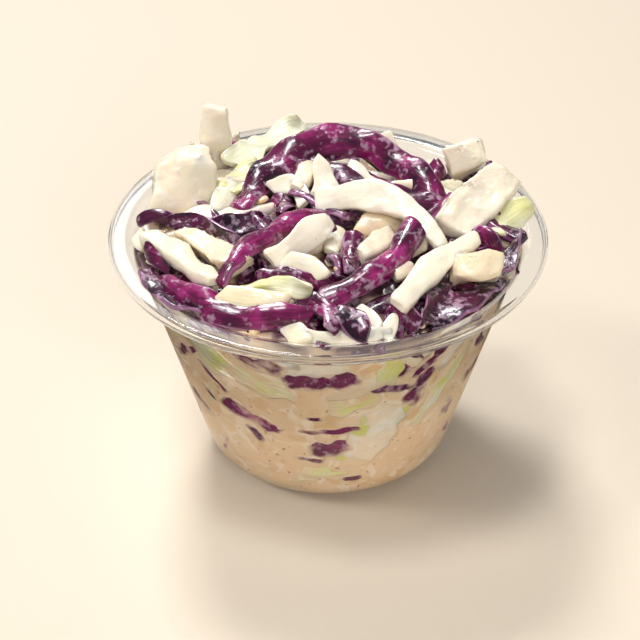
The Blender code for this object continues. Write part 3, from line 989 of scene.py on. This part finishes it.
def white_finish():
    """White cabbage: creamy, with faint veins, pink and green tints and peach dressing"""
    material, tree, shader = new_material("white_cabbage")
    place = place_field(tree)
    fibres = streaks(tree)
    tint = grain(tree, place, 120.0)
    colour = mix(tree, span(tint, -0.2, 0.3), (0.86, 0.79, 0.62), (0.85, 0.73, 0.63))
    colour = mix(tree, span(attribute(tree, "tone"), 0.6, 1.0) * 0.4, colour, (0.7, 0.72, 0.42))
    colour = mix(tree, span(fibres, 0.0, 0.3) * 0.22, colour, (0.74, 0.68, 0.42))
    colour = mix(tree, attribute(tree, "stain") * 0.7, colour, (0.82, 0.57, 0.32))
    blush = span(grain(tree, place, 210.0, 3.0), 0.1, 0.32) * 0.45
    colour = mix(tree, blush, colour, (0.66, 0.36, 0.46))
    smear = blotches(tree, place, 330.0, -0.04)
    colour = mix(tree, smear * 0.6, colour, (0.88, 0.84, 0.76))
    speck = span(grain(tree, place, 1500.0, 0.0), 0.3, 0.36) * 0.3
    colour = mix(tree, speck, colour, (0.45, 0.16, 0.06))
    fill(tree, shader.inputs["Base Color"], veiled(tree, place, colour))
    wet(shader, 0.2, 0.9, 0.4, (1.0, 0.75, 0.45))
    add_bump(tree, shader, fibres * 0.35 + smear * 0.6 + grain(tree, place, 420.0), 0.16 * MM)
    return material


def green_finish():
    """Leaf: cream to yellow-green, with paler veins"""
    material, tree, shader = new_material("green_leaf")
    place = place_field(tree)
    fibres = streaks(tree)
    shade = span(grain(tree, place, 160.0, 3.0) + attribute(tree, "stain") * 0.3, 0.02, 0.4)
    colour = mix(tree, shade, (0.82, 0.8, 0.6), (0.7, 0.66, 0.2))
    colour = mix(tree, span(fibres, 0.05, 0.3) * 0.6, colour, (0.76, 0.76, 0.56))
    fill(tree, shader.inputs["Base Color"], veiled(tree, place, colour))
    wet(shader, 0.26, 0.7, 0.25, (0.9, 0.9, 0.4))
    add_bump(tree, shader, fibres + grain(tree, place, 480.0), 0.18 * MM)
    return material


def dressing_finish(name, with_juice_and_shade):
    """Creamy dressing, and on the core's top near-black purple patches: partly purple juice from the
    cabbage, partly painted shade for the hollows between the shreds
    """
    material, tree, shader = new_material(name)
    place = place_field(tree)
    colour = mix(tree, span(grain(tree, place, 110.0, 3.0), -0.25, 0.3), (0.75, 0.53, 0.31), DRESSING)
    colour = mix(tree, span(grain(tree, place, 420.0, 3.0), 0.08, 0.3) * 0.4, colour, (0.6, 0.33, 0.2))
    deep = span(grain(tree, place, 130.0, 3.0, 1.5), 0.04, 0.16) * 0.7
    colour = mix(tree, deep, colour, (0.69, 0.44, 0.2))
    pale = span(grain(tree, place, 170.0, 4.0, 2.0), 0.03, 0.14) * 0.75
    colour = mix(tree, pale, colour, (0.86, 0.74, 0.58))
    if with_juice_and_shade:
        _, _, height = place.parts()
        top = span(height, RIM_HEIGHT - 5.0 * MM, RIM_HEIGHT - 2.5 * MM)
        # Painted shade in part: near-black purple patches on the top, for cabbage juice and for the dark
        # hollows between the shreds.
        juice_and_crevice_shade = span(grain(tree, place, 150.0, 2.0), -0.22, 0.05) * top
        colour = mix(tree, juice_and_crevice_shade * 0.95, colour, (0.05, 0.006, 0.03))
        speck = span(grain(tree, place, 1300.0, 0.0), 0.27, 0.33) * 0.7
        colour = mix(tree, speck, colour, (0.2, 0.05, 0.07))
    fill(tree, shader.inputs["Base Color"], colour)
    wet(shader, 0.32, 0.35, 0.3, (1.0, 0.6, 0.3))
    add_bump(tree, shader, grain(tree, place, 500.0, 3.0), 0.1 * MM)
    return material


def plastic_finish():
    """Clear formed plastic that lets light through to the salad"""
    material, tree, shader = new_material("clear_plastic")
    shader.inputs["Base Color"].default_value = (0.95, 0.965, 0.985, 1.0)
    shader.inputs["Transmission Weight"].default_value = 1.0
    shader.inputs["IOR"].default_value = 1.46
    wave = grain(tree, place_field(tree), 120.0, 2.0)
    fill(tree, shader.inputs["Roughness"], wave * 0.04 + 0.06)
    add_bump(tree, shader, wave, 0.05 * MM)
    clear = tree.nodes.new("ShaderNodeBsdfTransparent")
    path = tree.nodes.new("ShaderNodeLightPath")
    blend = tree.nodes.new("ShaderNodeMixShader")
    tree.links.new(path.outputs["Is Shadow Ray"], blend.inputs[0])
    tree.links.new(shader.outputs[0], blend.inputs[1])
    tree.links.new(clear.outputs[0], blend.inputs[2])
    tree.links.new(blend.outputs[0], tree.nodes["Material Output"].inputs["Surface"])
    return material


def add_camera():
    """The camera, in front of the cup and well above it"""
    data = bpy.data.cameras.new("camera")
    data.lens = 119.2
    camera = bpy.data.objects.new("camera", data)
    camera.location = (-0.00137, -0.302, 0.233)
    camera.rotation_euler = (math.radians(55.33), 0.0, 0.0)
    bpy.context.scene.collection.objects.link(camera)
    bpy.context.scene.camera = camera


def add_light(name, place, size, power, colour, gloss):
    """A soft square light that looks at the cup, and whether gloss mirrors it"""
    data = bpy.data.lights.new(name, "AREA")
    data.shape = "SQUARE"
    data.size = size
    data.energy = power
    data.color = colour
    light = bpy.data.objects.new(name, data)
    light.location = place
    light.rotation_euler = (Vector((0, 0, 0.03)) - Vector(place)).to_track_quat("-Z", "Y").to_euler()
    light.visible_glossy = gloss
    bpy.context.scene.collection.objects.link(light)


def add_studio():
    """A plain pale floor under soft light"""
    mesh = bpy.data.meshes.new("floor")
    mesh.from_pydata([(-2, -2, 0), (2, -2, 0), (2, 2, 0), (-2, 2, 0)], [], [(0, 1, 2, 3)])
    floor = bpy.data.objects.new("floor", mesh)
    bpy.context.scene.collection.objects.link(floor)
    material, tree, shader = new_material("floor")
    shader.inputs["Base Color"].default_value = (0.66, 0.57, 0.46, 1.0)
    shader.inputs["Roughness"].default_value = 0.7
    mesh.materials.append(material)
    world = bpy.data.worlds.new("studio")
    world.use_nodes = True
    world.node_tree.nodes["Background"].inputs["Color"].default_value = (0.92, 0.96, 1.0, 1.0)
    world.node_tree.nodes["Background"].inputs["Strength"].default_value = 0.22
    bpy.context.scene.world = world
    bpy.context.scene.view_settings.view_transform = "Standard"
    add_light("back", (-0.14, 0.38, 0.62), 0.16, 3.8, (1.0, 1.0, 1.0), True)
    add_light("top", (-0.1, -0.02, 0.6), 0.12, 1.3, (1.0, 1.0, 1.0), True)
    add_light("left", (-0.45, -0.1, 0.5), 0.16, 1.4, (1.0, 0.98, 0.95), False)
    add_light("front", (0.2, -0.55, 0.3), 0.35, 1.9, (1.0, 0.98, 0.94), False)


def make_salad():
    """The shreds, one piece for each kind"""
    tree = shred_tree()
    rng = random.Random(5)
    loose = loose_shreds()
    pressed = wall_shreds()
    red = red_finish()
    white = white_finish()
    green = green_finish()
    firm = {
        "Roll wander": 0.35, "Path wander": 0.6 * MM, "Width wander": 0.45, "Hollow": 0.12,
        "Rib depth": 0.05 * MM, "Relief depth": 0.26 * MM,
    }
    chosen = {
        "red": (RED, red, 1.0, {"Hollow": 0.5}),
        "white": (WHITE, white, 0.35, firm),
        "green": (GREEN, green, 1.6, {"Relief depth": 0.35 * MM}),
    }
    made = {}
    for kind, (sizes, finish, ruffled, manner) in chosen.items():
        parts = [
            sweep(f"{kind}_chosen", list(sizes.values()), tree, finish, rng, ruffled,
                  **{"Sides": 28, **manner}),
            sweep(f"{kind}_loose", loose[kind], tree, finish, rng, ruffled,
                  **{"Sides": 16, "Step": 0.6 * MM, **manner}),
            sweep(f"{kind}_pressed", pressed[kind], tree, finish, rng, 0.3,
                  veiled=True, **{
                      "Sides": 24, "Step": 0.4 * MM, "Path wander": 0.7 * MM, "Roll wander": 0.1,
                      "Hollow": 0.0, "Width wander": 0.65, "Wander pitch": 3.0 * MM,
                      "Relief depth": 0.12 * MM}),
        ]
        if kind == "white":
            parts += [
                chunk(name, *chosen_sizes, finish) for name, chosen_sizes in CHUNKS.items()
            ]
        made[kind] = join(parts, f"{kind}_shreds")
    return made


add_camera()
cup = make_cup(plastic_finish())
core = make_core(dressing_finish("dressing", True))
drops = make_drops(dressing_finish("dressing_drop", False))
salad = make_salad()

for piece in (cup, core, drops, *salad.values()):
    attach(piece, "root")
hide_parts("cup")
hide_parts("coleslaw")
add_studio()
